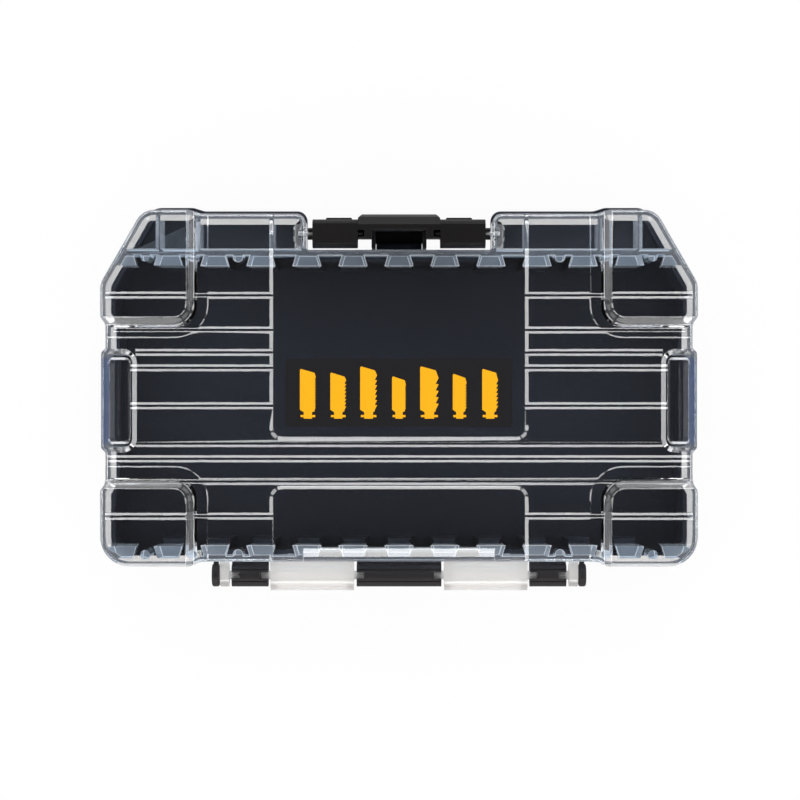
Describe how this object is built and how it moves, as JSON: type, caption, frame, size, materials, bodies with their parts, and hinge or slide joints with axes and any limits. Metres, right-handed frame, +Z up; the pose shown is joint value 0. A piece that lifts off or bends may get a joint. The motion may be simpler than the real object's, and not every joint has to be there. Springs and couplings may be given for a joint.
{
  "type": "saw blade storage case",
  "caption": "Flat storage case for saw blades: a black moulded tray, a deep clear hinged lid with dovetail rails, and a swing latch.",
  "frame": {"origin": "middle of the underside, on the surface that the closed case lies on", "axes": "+Z up through the lid, +X along the hinge line, +Y from the latch to the hinge"},
  "size_m": [0.2396, 0.1564, 0.05],
  "materials": {
    "tray_plastic": "fine moulded grain, satin",
    "clear_plastic": "clear polished polycarbonate",
    "latch_plastic": "fine moulded grain, satin",
    "pin_steel": "drawn wire",
    "label_film": "printed film, satin"
  },
  "bodies": {
    "tray": {"base_tray": "tray_plastic", "tray_shoulder_left": "tray_plastic", "tray_shoulder_right": "tray_plastic"},
    "lid": {"lid_shell": "clear_plastic", "lid_shoulder_left": "clear_plastic", "lid_shoulder_right": "clear_plastic", "latch_pin_left": "pin_steel", "latch_pin_right": "pin_steel", "contents_label": "label_film"},
    "latch": {"latch": "latch_plastic"}
  },
  "joints": [
    {"name": "lid_hinge", "type": "hinge", "parent": "tray", "child": "lid", "pos_m": [0, 0.072, 0.027], "axis": [-1, 0, 0], "range_deg": [0, 180]},
    {"name": "latch_swing", "type": "hinge", "parent": "lid", "child": "latch", "pos_m": [0, -0.0667, 0.04], "axis": [-1, 0, 0], "range_deg": [0, 100]}
  ]
}
